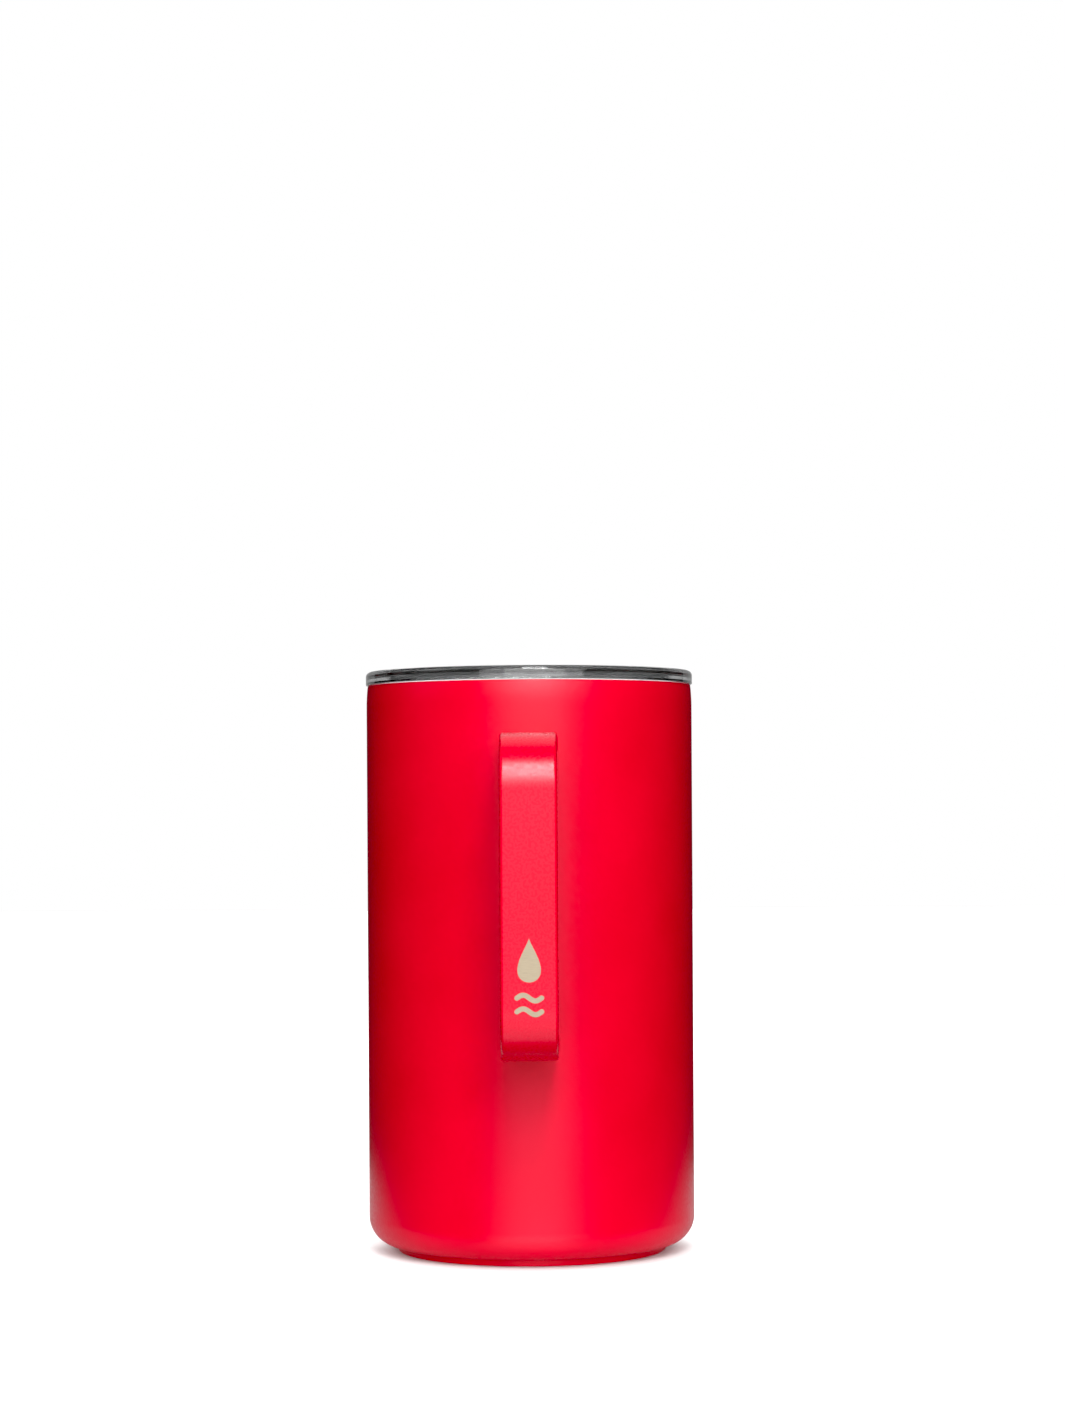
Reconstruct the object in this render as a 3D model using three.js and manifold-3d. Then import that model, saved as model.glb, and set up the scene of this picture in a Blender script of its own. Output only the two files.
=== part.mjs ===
// An insulated steel travel mug with a strap handle and a clear press-on lid.
// Millimetres, +Z up. The origin is on the mug's axis at the level of the table,
// and the handle points along -Y.
import * as THREE from "three";
import { mergeVertices } from "three/addons/utils/BufferGeometryUtils.js";
import Module from "manifold-3d";

const wasm = await Module();
wasm.setup();

// ---------------------------------------------------------------- driving dimensions
const BODY_RADIUS = 43; // outside of the painted shell
const BODY_HEIGHT = 149; // table to the steel lip
const SHELL_WALL = 0.6;
const LINER_WALL = 0.5;
const VACUUM_GAP = 2.5; // between shell and liner
const BASE_FILLET = 7.5; // lower edge of the shell
const LIP_TAPER = 0.3; // the shell leans in by this much just below its lip
const LIP_TAPER_HEIGHT = 5.4;
const LIP_ROUND = 0.35;
const LIP_LAP = 0.5; // the shell's lip turns in over the liner's flare
const FOOT_HEIGHT = 1.65; // the foot ring stands this far below the shell
const FLOOR_HEIGHT = 9.1; // table to the floor of the cup
const LINER_FILLET = 10; // inside corner of the cup

const HANDLE_WIDTH = 14;
const HANDLE_THICKNESS = 4.5;
const HANDLE_WALL = 1; // sheet that the hollow strap is folded from
const HANDLE_REACH = 37; // shell to the handle's outer face
const HANDLE_TOP = 135;
const HANDLE_BOTTOM = 54.7;
const HANDLE_BEND = 13.5; // outer radius of both corners
const HANDLE_EDGE = 0.8; // rounding of the long edges
const TONGUE_LENGTH = 13; // bracket inside each end of the hollow strap

const LID_RADIUS = 43.15;
const LID_TOP = 152.6;
const LID_DECK_TOP = 146.8;
const LID_DECK_THICKNESS = 1.8;
const LID_SKIRT_OUTER = 38.4;
const LID_SKIRT_INNER = 35.4;
const LID_SKIRT_BOTTOM = 138.8;
const LID_EDGE = 1.2; // rounding of the rim's upper edge
const LID_SLOPE_TOP = 40.7; // where the rim starts to slope down to the deck
const LID_SLOPE_FOOT = 35.4; // where that slope reaches the deck
const GROOVE_LOW = 140.6; // groove that holds the gasket
const GROOVE_HIGH = 144.6;
const GROOVE_DEPTH = 1.6;
const GASKET_RADIUS = 39.2; // its two lips

const HOLE_NEAR = 25.2; // drinking hole, from the lid's axis
const HOLE_FAR = 32.7;
const HOLE_WIDTH = 17;
const SLIDER_WIDTH = 22;
const SLIDER_PLATE = 1.6;
const SLIDER_REACH = 34.2; // round outer end of the slider
const SLIDER_BACK = 9; // its straight inner end
const SLIDER_TRAVEL = 12;
const PAD_END = 31; // outer end of the slider's raised pad
const RIDGE_RADIUS = 1.5; // the thumb ridge, a round bar let into the pad
const RIDGE_LENGTH = 13;
const RIDGE_OFFSET = 16;

const CLEARANCE = 0.05; // welded and resting faces
const RUNNING_GAP = 0.3; // sliding faces
const SIDES = 48; // facets round the axis

// ---------------------------------------------------------------- derived dimensions
const SHELL_MOUTH = BODY_RADIUS - BASE_FILLET; // open base of the shell, filled by the foot
const FOOT_RADIUS = SHELL_MOUTH - 2 * CLEARANCE;
const LINER_OUTER = BODY_RADIUS - SHELL_WALL - VACUUM_GAP;
const LINER_INNER = LINER_OUTER - LINER_WALL;
const LID_DECK_BOTTOM = LID_DECK_TOP - LID_DECK_THICKNESS;
const HANDLE_FACE = BODY_RADIUS + HANDLE_REACH;

// ---------------------------------------------------------------- materials
const paint = new THREE.MeshStandardMaterial({ color: 0xe3001f, roughness: 0.5, metalness: 0 });
const steel = new THREE.MeshStandardMaterial({ color: 0xb9bbbd, roughness: 0.35, metalness: 1 });
const clear = new THREE.MeshStandardMaterial({
  color: 0xdfe3e6,
  roughness: 0.08,
  metalness: 0,
  transparent: true,
  opacity: 0.35,
});
const silicone = new THREE.MeshStandardMaterial({ color: 0xd8dadb, roughness: 0.6, metalness: 0 });
const solderGlass = new THREE.MeshStandardMaterial({ color: 0x3c3a38, roughness: 0.2, metalness: 0 });
const getterMetal = new THREE.MeshStandardMaterial({ color: 0x6d6a66, roughness: 0.8, metalness: 1 });

// ---------------------------------------------------------------- geometry helpers
const at = (radius, height) => new THREE.Vector2(radius, height);

// Points on a round corner, from one angle to another in degrees, both ends included.
function corner(radius, height, round, from, to, steps) {
  const points = [];
  for (let i = 0; i <= steps; i++) {
    const angle = THREE.MathUtils.degToRad(from + ((to - from) * i) / steps);
    points.push(at(radius + round * Math.cos(angle), height + round * Math.sin(angle)));
  }
  return points;
}

// A profile of (radius, height) points turned round the Z axis. It runs up the outside.
// A profile that doesn't end on the axis is closed on itself.
function turned(profile, sides = SIDES) {
  const points = [...profile];
  if (points[0].x > 0) points.push(points[0].clone());
  return new THREE.LatheGeometry(points, sides).rotateX(Math.PI / 2);
}

// A shape drawn in (distance out along -Y, height) and given a width along X.
function acrossX(shape, width, bevel = 0) {
  const geometry = new THREE.ExtrudeGeometry(shape, {
    depth: width - 2 * bevel,
    bevelEnabled: bevel > 0,
    bevelThickness: bevel,
    bevelSize: bevel,
    bevelOffset: -bevel,
    bevelSegments: 2,
    curveSegments: 8,
  });
  geometry.translate(0, 0, bevel - width / 2);
  const out = new THREE.Vector3(0, -1, 0);
  const up = new THREE.Vector3(0, 0, 1);
  const side = new THREE.Vector3(-1, 0, 0);
  return geometry.applyMatrix4(new THREE.Matrix4().makeBasis(out, up, side));
}

// A shape drawn in (x, y) and given a height from low to high.
function upright(shape, low, high, curveSegments = 6) {
  return new THREE.ExtrudeGeometry(shape, {
    depth: high - low,
    bevelEnabled: false,
    curveSegments,
  }).translate(0, 0, low);
}

function polygon(points) {
  const shape = new THREE.Shape();
  points.forEach(([x, y], i) => (i ? shape.lineTo(x, y) : shape.moveTo(x, y)));
  shape.closePath();
  return shape;
}

function block(x0, x1, y0, y1, z0, z1) {
  return new THREE.BoxGeometry(x1 - x0, y1 - y0, z1 - z0).translate(
    (x0 + x1) / 2,
    (y0 + y1) / 2,
    (z0 + z1) / 2,
  );
}

function solid(geometry) {
  const bare = geometry.clone();
  bare.deleteAttribute("normal");
  bare.deleteAttribute("uv");
  const merged = mergeVertices(bare, 1e-4);
  return new wasm.Manifold(
    new wasm.Mesh({
      numProp: 3,
      vertProperties: new Float32Array(merged.attributes.position.array),
      triVerts: new Uint32Array(merged.index.array),
    }),
  );
}

function geometryOf(manifold) {
  const mesh = manifold.getMesh();
  const geometry = new THREE.BufferGeometry();
  geometry.setAttribute("position", new THREE.BufferAttribute(mesh.vertProperties, 3));
  geometry.setIndex(new THREE.BufferAttribute(mesh.triVerts, 1));
  geometry.computeVertexNormals();
  return geometry;
}

// ---------------------------------------------------------------- double-walled body
// The painted outer shell: a straight tube, drawn in a little at the lip and rounded at the base.
function outerShell() {
  const inner = BODY_RADIUS - SHELL_WALL;
  const filletHeight = FOOT_HEIGHT + BASE_FILLET;
  const taperTop = BODY_HEIGHT - LIP_ROUND;
  const lipRadius = BODY_RADIUS - LIP_TAPER;
  const lipInner = inner - LIP_LAP;
  return turned([
    ...corner(SHELL_MOUTH, filletHeight, BASE_FILLET, -90, 0, 5),
    at(BODY_RADIUS, taperTop - LIP_TAPER_HEIGHT),
    at(BODY_RADIUS - LIP_TAPER / 4, taperTop - LIP_TAPER_HEIGHT / 2),
    ...corner(lipRadius - LIP_ROUND, taperTop, LIP_ROUND, 0, 90, 3),
    at(lipInner, BODY_HEIGHT),
    at(lipInner, BODY_HEIGHT - SHELL_WALL),
    at(inner, BODY_HEIGHT - SHELL_WALL - 2 * LIP_LAP),
    ...corner(SHELL_MOUTH, filletHeight, BASE_FILLET - SHELL_WALL, 0, -90, 4),
  ]);
}

// The bare steel cup inside, flared at the top into the lip that the lid rests on.
function innerLiner() {
  const lipOuter = BODY_RADIUS - SHELL_WALL - LIP_LAP - CLEARANCE;
  const lipRound = 1;
  const flareLow = 2.6; // below the lip
  const flareMiddle = 1.2;
  const filletHeight = FLOOR_HEIGHT + LINER_FILLET;
  const filletRadius = LINER_INNER - LINER_FILLET;
  return turned([
    at(0, FLOOR_HEIGHT - LINER_WALL),
    ...corner(filletRadius, filletHeight, LINER_FILLET + LINER_WALL, -90, 0, 4),
    at(LINER_OUTER, BODY_HEIGHT - flareLow),
    at(LINER_OUTER + LINER_WALL, BODY_HEIGHT - flareMiddle),
    at(lipOuter, BODY_HEIGHT - LINER_WALL),
    at(lipOuter, BODY_HEIGHT),
    ...corner(LINER_INNER + lipRound, BODY_HEIGHT - lipRound, lipRound, 90, 180, 3),
    ...corner(filletRadius, filletHeight, LINER_FILLET, 0, -90, 4),
    at(0, FLOOR_HEIGHT),
  ]);
}

// The disc that closes the vacuum space. Air is drawn out through the pit at its centre.
const CLOSURE_LEVEL = FOOT_HEIGHT + 1.9;
const CLOSURE_WALL = 0.6;
const CLOSURE_FLANGE = 0.3; // turned out over the shell's fillet
const PIT_RADIUS = 5;
const PIT_RISE = 1;
const PIT_SLOPE = 0.6; // how far the pit's wall leans in
const VENT_RADIUS = 0.8;
const BEAD_RADIUS = 3.9;
const BEAD_DROP = 0.3; // how far the bead hangs below the disc

function vacuumClosureDisc() {
  const rimInner = SHELL_MOUTH;
  const rimOuter = rimInner + CLOSURE_WALL;
  const flangeOuter = rimOuter + CLOSURE_FLANGE;
  const flangeLow = FOOT_HEIGHT + SHELL_WALL + 5 * CLEARANCE; // clear of the fillet below it
  const flangeHigh = flangeLow + CLOSURE_WALL;
  const top = CLOSURE_LEVEL + CLOSURE_WALL;
  const pitTop = PIT_RADIUS + PIT_SLOPE * CLOSURE_WALL;
  return turned([
    at(VENT_RADIUS, CLOSURE_LEVEL + PIT_RISE),
    at(PIT_RADIUS - PIT_SLOPE, CLOSURE_LEVEL + PIT_RISE),
    at(PIT_RADIUS, CLOSURE_LEVEL),
    at(rimInner, CLOSURE_LEVEL),
    at(rimInner, flangeLow),
    at(flangeOuter, flangeLow),
    at(flangeOuter, flangeHigh),
    at(rimOuter, flangeHigh),
    at(rimOuter, top),
    at(pitTop, top),
    at(pitTop - PIT_SLOPE, top + PIT_RISE),
    at(VENT_RADIUS, top + PIT_RISE),
  ]);
}

// The bead of glass solder that seals the pit.
function vacuumSealBead() {
  const low = CLOSURE_LEVEL - BEAD_DROP;
  const top = CLOSURE_LEVEL + PIT_RISE - CLEARANCE;
  const crown = (fraction, rise) => at(BEAD_RADIUS * fraction, low + (top - low) * rise);
  return turned(
    [at(0, low), crown(0.55, 0.25), crown(0.92, 0.75), at(BEAD_RADIUS, top), at(0, top)],
    SIDES / 2,
  );
}

// The getter, a pill that soaks up stray gas, and the strap that holds it on the disc.
const GETTER_RADIUS = 4;
const GETTER_HEIGHT = 2;
const GETTER_OFFSET = 15;
const STRAP_WALL = 0.3;
const STRAP_WIDTH = 4;
const STRAP_FOOT = 2; // spot-welded at both ends
const STRAP_PLAY = 0.2; // between the pill and the strap's sides

function getterPill() {
  const low = CLOSURE_LEVEL + CLOSURE_WALL + CLEARANCE;
  return new THREE.CylinderGeometry(GETTER_RADIUS, GETTER_RADIUS, GETTER_HEIGHT, SIDES / 2)
    .rotateX(Math.PI / 2)
    .translate(0, -GETTER_OFFSET, low + GETTER_HEIGHT / 2);
}

function getterStrap() {
  const low = CLOSURE_LEVEL + CLOSURE_WALL + CLEARANCE;
  const over = low + GETTER_HEIGHT + CLEARANCE;
  const near = GETTER_OFFSET - GETTER_RADIUS - STRAP_PLAY;
  const far = GETTER_OFFSET + GETTER_RADIUS + STRAP_PLAY;
  const shape = polygon([
    [near - STRAP_FOOT, low],
    [near, low],
    [near, over],
    [far, over],
    [far, low],
    [far + STRAP_FOOT, low],
    [far + STRAP_FOOT, low + STRAP_WALL],
    [far + STRAP_WALL, low + STRAP_WALL],
    [far + STRAP_WALL, over + STRAP_WALL],
    [near - STRAP_WALL, over + STRAP_WALL],
    [near - STRAP_WALL, low + STRAP_WALL],
    [near - STRAP_FOOT, low + STRAP_WALL],
  ]);
  return acrossX(shape, STRAP_WIDTH);
}

// The painted cap that the mug stands on. It rests on a ring, and its middle is recessed.
const CAP_WALL = 0.8;
const CAP_RECESS = 0.8;
const CAP_RING = 4; // width of the ring
const CAP_EDGE = 0.5;
const CAP_SLOPE = 1.2; // how far the recess leans in from the ring

function baseCap() {
  const ringInner = FOOT_RADIUS - CAP_EDGE - CAP_RING;
  const ringTop = ringInner + CAP_WALL / 2;
  const wallTop = CLOSURE_LEVEL - 0.3;
  return turned([
    at(0, CAP_RECESS),
    at(ringInner - CAP_SLOPE, CAP_RECESS),
    at(ringInner, 0),
    ...corner(FOOT_RADIUS - CAP_EDGE, CAP_EDGE, CAP_EDGE, -90, 0, 2),
    at(FOOT_RADIUS, wallTop),
    at(FOOT_RADIUS - CAP_WALL, wallTop),
    at(FOOT_RADIUS - CAP_WALL, CAP_WALL),
    at(ringTop, CAP_WALL),
    at(ringTop - CAP_SLOPE, CAP_RECESS + CAP_WALL),
    at(0, CAP_RECESS + CAP_WALL),
  ]);
}

// ---------------------------------------------------------------- handle
// A strap that leaves the shell level, turns down, and comes back level. The outline runs
// from the depth `outer` to the depth `inner` below the strap's outer face.
function strapOutline(outer, inner, start) {
  const bendOut = HANDLE_FACE - HANDLE_BEND;
  const bendHigh = HANDLE_TOP - HANDLE_BEND;
  const bendLow = HANDLE_BOTTOM + HANDLE_BEND;
  const shape = new THREE.Shape();
  shape.moveTo(start, HANDLE_BOTTOM + outer);
  shape.lineTo(bendOut, HANDLE_BOTTOM + outer);
  shape.absarc(bendOut, bendLow, HANDLE_BEND - outer, -Math.PI / 2, 0, false);
  shape.absarc(bendOut, bendHigh, HANDLE_BEND - outer, 0, Math.PI / 2, false);
  shape.lineTo(start, HANDLE_TOP - outer);
  shape.lineTo(start, HANDLE_TOP - inner);
  shape.absarc(bendOut, bendHigh, HANDLE_BEND - inner, Math.PI / 2, 0, true);
  shape.absarc(bendOut, bendLow, HANDLE_BEND - inner, 0, -Math.PI / 2, true);
  shape.lineTo(start, HANDLE_BOTTOM + inner);
  shape.closePath();
  return shape;
}

// The shell's own facets, grown by the clearance, trim whatever is welded to it.
function bodyTrim() {
  const radius = BODY_RADIUS + CLEARANCE;
  return solid(turned([at(0, 0), at(radius, 0), at(radius, BODY_HEIGHT), at(0, BODY_HEIGHT)]));
}

const INSIDE_SHELL = BODY_RADIUS - 4; // the ends start in here and are trimmed

function handleOuterChannel() {
  const strap = acrossX(strapOutline(0, HANDLE_THICKNESS, INSIDE_SHELL), HANDLE_WIDTH, HANDLE_EDGE);
  const hollow = acrossX(
    strapOutline(HANDLE_WALL, HANDLE_THICKNESS + 1, INSIDE_SHELL - 2),
    HANDLE_WIDTH - 2 * HANDLE_WALL,
  );
  return geometryOf(solid(strap).subtract(solid(hollow)).subtract(bodyTrim()));
}

function handleInnerPlate() {
  const plate = acrossX(
    strapOutline(HANDLE_THICKNESS - HANDLE_WALL, HANDLE_THICKNESS, INSIDE_SHELL),
    HANDLE_WIDTH - 2 * HANDLE_WALL - 2 * CLEARANCE,
  );
  return geometryOf(solid(plate).subtract(bodyTrim()));
}

// A tongue welded to the shell. The hollow strap is pushed over it and welded in turn.
function handleTongue(strapTop, strapBottom) {
  const half = (HANDLE_WIDTH - 2 * HANDLE_WALL) / 2 - RUNNING_GAP;
  const low = strapBottom + HANDLE_WALL + RUNNING_GAP;
  const high = strapTop - HANDLE_WALL - RUNNING_GAP;
  const tongue = block(-half, half, -BODY_RADIUS - TONGUE_LENGTH, -INSIDE_SHELL, low, high);
  return geometryOf(solid(tongue).subtract(bodyTrim()));
}

// ---------------------------------------------------------------- lid
// The lid's parts are drawn with the drinking hole along +Y, then turned a quarter turn,
// so that the hole is at the mug's side and the handle is in the drinker's right hand.
const LID_TURN = Math.PI / 2;
const RAIL_WALL = 2;
const RAIL_HEIGHT = 3.6;
const RAIL_LIP = 1.6; // overhang that holds the slider down
const RAIL_BACK = -7;
const RAIL_FRONT = 31;
const RAIL_LIP_THICKNESS = 1;
const RAIL_ROOT = 0.4; // how far the rails and the stop are sunk into the deck
const STOP_WIDTH = 10;
const STOP_THICKNESS = 2;
const STOP_HEIGHT = 1.8;
const VENT_HOLE_RADIUS = 1.2;
const VENT_HOLE_OFFSET = 29;

function lidBlank() {
  const flange = BODY_HEIGHT + CLEARANCE;
  const grooveInner = LID_SKIRT_OUTER - GROOVE_DEPTH;
  const lead = 0.8; // bevel that guides the skirt into the mug
  const bevel = 0.4;
  const slope = (down) => at(LID_SLOPE_TOP - 0.5 - down, LID_TOP - down);
  return turned([
    at(0, LID_DECK_BOTTOM),
    at(LID_SKIRT_INNER, LID_DECK_BOTTOM),
    at(LID_SKIRT_INNER, LID_SKIRT_BOTTOM),
    at(LID_SKIRT_OUTER - lead, LID_SKIRT_BOTTOM),
    at(LID_SKIRT_OUTER, LID_SKIRT_BOTTOM + lead),
    at(LID_SKIRT_OUTER, GROOVE_LOW),
    at(grooveInner, GROOVE_LOW),
    at(grooveInner, GROOVE_HIGH),
    at(LID_SKIRT_OUTER, GROOVE_HIGH),
    at(LID_SKIRT_OUTER, flange),
    at(LID_RADIUS - bevel, flange),
    at(LID_RADIUS, flange + bevel),
    ...corner(LID_RADIUS - LID_EDGE, LID_TOP - LID_EDGE, LID_EDGE, 0, 90, 3),
    at(LID_SLOPE_TOP, LID_TOP),
    slope(0.6),
    slope(2.8),
    at(LID_SLOPE_FOOT + 0.8, LID_DECK_TOP + 1),
    at(LID_SLOPE_FOOT, LID_DECK_TOP),
    at(0, LID_DECK_TOP),
  ]);
}

function drinkingHole() {
  const half = HOLE_WIDTH / 2;
  const round = 2.5;
  const shape = new THREE.Shape();
  shape.moveTo(-half + round, HOLE_NEAR);
  shape.absarc(half - round, HOLE_NEAR + round, round, -Math.PI / 2, 0, false);
  shape.absarc(half - round, HOLE_FAR - round, round, 0, Math.PI / 2, false);
  shape.absarc(-half + round, HOLE_FAR - round, round, Math.PI / 2, Math.PI, false);
  shape.absarc(-half + round, HOLE_NEAR + round, round, Math.PI, 1.5 * Math.PI, false);
  return upright(shape, LID_DECK_BOTTOM - 1, LID_DECK_TOP + 1, 3);
}

// One guide rail: an upright wall with a lip over the slider's edge.
function rail(side) {
  const inner = SLIDER_WIDTH / 2 + RUNNING_GAP;
  const base = LID_DECK_TOP - RAIL_ROOT;
  const top = LID_DECK_TOP + RAIL_HEIGHT;
  const lipLow = top - RAIL_LIP_THICKNESS;
  const across = (from, to) => (side > 0 ? [from, to] : [-to, -from]);
  const wall = block(...across(inner, inner + RAIL_WALL), RAIL_BACK, RAIL_FRONT, base, top);
  const lip = block(...across(inner - RAIL_LIP, inner + 1), RAIL_BACK, RAIL_FRONT, lipLow, top);
  return solid(wall).add(solid(lip));
}

function lidCover() {
  const drill = 3 * LID_DECK_THICKNESS;
  const ventHole = new THREE.CylinderGeometry(VENT_HOLE_RADIUS, VENT_HOLE_RADIUS, drill, SIDES / 3)
    .rotateX(Math.PI / 2)
    .translate(0, -VENT_HOLE_OFFSET, LID_DECK_TOP);
  const stopFace = SLIDER_BACK - SLIDER_TRAVEL - RUNNING_GAP;
  const backStop = block(
    -STOP_WIDTH / 2,
    STOP_WIDTH / 2,
    stopFace - STOP_THICKNESS,
    stopFace,
    LID_DECK_TOP - RAIL_ROOT,
    LID_DECK_TOP + STOP_HEIGHT,
  );
  return geometryOf(
    solid(lidBlank())
      .subtract(solid(drinkingHole()))
      .subtract(solid(ventHole))
      .add(rail(1))
      .add(rail(-1))
      .add(solid(backStop)),
  );
}

// The slider: a plate held under the rails, with a raised pad and a thumb ridge.
function lidSlider() {
  const half = SLIDER_WIDTH / 2;
  const low = LID_DECK_TOP + CLEARANCE;
  const high = low + SLIDER_PLATE;
  const padHalf = half - RAIL_LIP - 0.4;
  const padTop = LID_DECK_TOP + RAIL_HEIGHT + 0.2;
  const end = Math.asin(half / SLIDER_REACH);
  const plate = new THREE.Shape();
  plate.moveTo(-half, SLIDER_BACK);
  plate.lineTo(half, SLIDER_BACK);
  plate.absarc(0, 0, SLIDER_REACH, Math.PI / 2 - end, Math.PI / 2 + end, false);
  plate.closePath();
  const pad = block(-padHalf, padHalf, SLIDER_BACK + 1, PAD_END, high - 0.4, padTop);
  const ridge = new THREE.CylinderGeometry(RIDGE_RADIUS, RIDGE_RADIUS, RIDGE_LENGTH, SIDES / 4)
    .rotateZ(Math.PI / 2)
    .translate(0, RIDGE_OFFSET, padTop);
  return geometryOf(
    solid(upright(plate, low, high))
      .add(solid(pad))
      .add(solid(ridge)),
  );
}

// The silicone ring in the skirt's groove, with two lips that grip the liner.
function lidGasket() {
  const inner = LID_SKIRT_OUTER - GROOVE_DEPTH + CLEARANCE;
  const root = LID_SKIRT_OUTER + 0.1;
  const edge = root - 0.3;
  const low = GROOVE_LOW + CLEARANCE;
  const high = GROOVE_HIGH - CLEARANCE;
  const lipMiddle = 0.9; // from each face of the ring to the tip of its lip
  const lipRoot = 1.5;
  return turned([
    at(inner, low),
    at(edge, low),
    at(GASKET_RADIUS, low + lipMiddle),
    at(root, low + lipRoot),
    at(root, high - lipRoot),
    at(GASKET_RADIUS, high - lipMiddle),
    at(edge, high),
    at(inner, high),
  ]);
}

// ---------------------------------------------------------------- assembly
const mug = new THREE.Group();

function place(parent, name, geometry, material) {
  const mesh = new THREE.Mesh(geometry, material);
  mesh.name = name;
  parent.add(mesh);
  return mesh;
}

place(mug, "outer_shell", outerShell(), paint);
place(mug, "inner_liner", innerLiner(), steel);
place(mug, "vacuum_closure_disc", vacuumClosureDisc(), steel);
place(mug, "vacuum_seal_bead", vacuumSealBead(), solderGlass);
place(mug, "getter_pill", getterPill(), getterMetal);
place(mug, "getter_strap", getterStrap(), steel);
place(mug, "base_cap", baseCap(), paint);

place(mug, "handle_outer_channel", handleOuterChannel(), paint);
place(mug, "handle_inner_plate", handleInnerPlate(), paint);
place(mug, "upper_handle_tongue", handleTongue(HANDLE_TOP, HANDLE_TOP - HANDLE_THICKNESS), steel);
place(
  mug,
  "lower_handle_tongue",
  handleTongue(HANDLE_BOTTOM + HANDLE_THICKNESS, HANDLE_BOTTOM),
  steel,
);

const lid = new THREE.Group();
lid.rotation.z = LID_TURN; // the drinking hole, along +Y in the lid's drawing, faces -X
mug.add(lid);
place(lid, "lid_cover", lidCover(), clear);
place(lid, "lid_slider", lidSlider(), clear);
place(lid, "lid_gasket", lidGasket(), silicone);

export default mug;
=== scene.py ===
"""An insulated steel travel mug with a red powder coat, a flat strap handle and a clear press-on lid.

Sizes are in millimetres and MM turns them into Blender's metres. The main ones are read from the
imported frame, so the pieces made here lie exactly where the CAD parts lie. The handle is at -Y.
"""

import math

import bmesh
import bpy
from mathutils import Matrix, Vector


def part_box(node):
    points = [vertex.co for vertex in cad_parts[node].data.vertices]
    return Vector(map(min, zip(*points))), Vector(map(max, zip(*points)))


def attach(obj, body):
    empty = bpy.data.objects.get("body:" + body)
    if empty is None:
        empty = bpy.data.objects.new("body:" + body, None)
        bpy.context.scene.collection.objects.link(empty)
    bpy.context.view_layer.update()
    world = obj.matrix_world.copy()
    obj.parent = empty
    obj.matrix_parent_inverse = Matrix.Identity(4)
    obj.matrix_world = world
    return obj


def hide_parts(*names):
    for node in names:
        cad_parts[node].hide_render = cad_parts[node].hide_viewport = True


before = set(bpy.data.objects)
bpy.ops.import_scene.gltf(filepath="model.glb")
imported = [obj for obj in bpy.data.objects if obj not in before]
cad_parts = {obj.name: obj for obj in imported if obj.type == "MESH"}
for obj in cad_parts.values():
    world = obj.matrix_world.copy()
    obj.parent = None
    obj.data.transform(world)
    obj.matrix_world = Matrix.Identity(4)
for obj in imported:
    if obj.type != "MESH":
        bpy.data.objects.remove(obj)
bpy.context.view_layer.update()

MM = 0.001
RING = 192  # facets round the axis


# ---------------------------------------------------------------- sizes, from the frame
def low_mm(node):
    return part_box(node)[0] / MM


def high_mm(node):
    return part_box(node)[1] / MM


CLEARANCE = 0.05  # between pieces that touch
SHELL_WALL = 0.6
LINER_WALL = 0.5
VACUUM_GAP = 2.5

BODY_RADIUS = high_mm("outer_shell").x
SHELL_LOW = low_mm("outer_shell").z
LIP = high_mm("outer_shell").z
LINER_FLOOR = low_mm("inner_liner").z + LINER_WALL
FOOT_RADIUS = high_mm("base_cap").x
FOOT_TOP = high_mm("base_cap").z
LID_RADIUS = high_mm("lid_cover").y
LID_LOW = low_mm("lid_cover").z
LID_TOP = high_mm("lid_cover").z
GASKET_LOW = low_mm("lid_gasket").z
GASKET_HIGH = high_mm("lid_gasket").z
GASKET_RADIUS = high_mm("lid_gasket").x
SLIDER_LOW = low_mm("lid_slider").z
SLIDER_WIDTH = high_mm("lid_slider").y - low_mm("lid_slider").y
HANDLE_FACE = -low_mm("handle_outer_channel").y
HANDLE_LOW = low_mm("handle_outer_channel").z
HANDLE_HIGH = high_mm("handle_outer_channel").z
HANDLE_WIDTH = high_mm("handle_outer_channel").x - low_mm("handle_outer_channel").x

LINER_RADIUS = BODY_RADIUS - SHELL_WALL - VACUUM_GAP - LINER_WALL  # inside of the cup
HANDLE_THICKNESS = 4.5
HANDLE_EDGE = 0.8  # rounding of the strap's long edges
DECK_TOP = SLIDER_LOW - CLEARANCE


# ---------------------------------------------------------------- mesh helpers
def arc(x, z, radius, start, end, steps=8):
    """Points on an arc from one angle to another, in degrees, both ends included."""
    points = []
    for i in range(steps + 1):
        angle = math.radians(start + (end - start) * i / steps)
        points.append((x + radius * math.cos(angle), z + radius * math.sin(angle)))
    return points


def supported(profile, closed, margin=0.06):
    """Adds a point just inside both ends of each long run, so that its flat part keeps flat shading."""
    points = []
    count = len(profile)
    for i in range(count if closed else count - 1):
        here = Vector(profile[i])
        there = Vector(profile[(i + 1) % count])
        run = there - here
        points.append(here)
        if run.length > 5 * margin:
            points.append(here + run.normalized() * margin)
            points.append(there - run.normalized() * margin)
    if not closed:
        points.append(Vector(profile[-1]))
    return points


def mesh_object(name, vertices, faces):
    """Makes an object from points in millimetres."""
    mesh = bpy.data.meshes.new(name)
    mesh.from_pydata([tuple(c * MM for c in v) for v in vertices], [], faces)
    mesh.validate()
    mesh.shade_smooth()
    obj = bpy.data.objects.new(name, mesh)
    bpy.context.scene.collection.objects.link(obj)
    return obj


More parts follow.
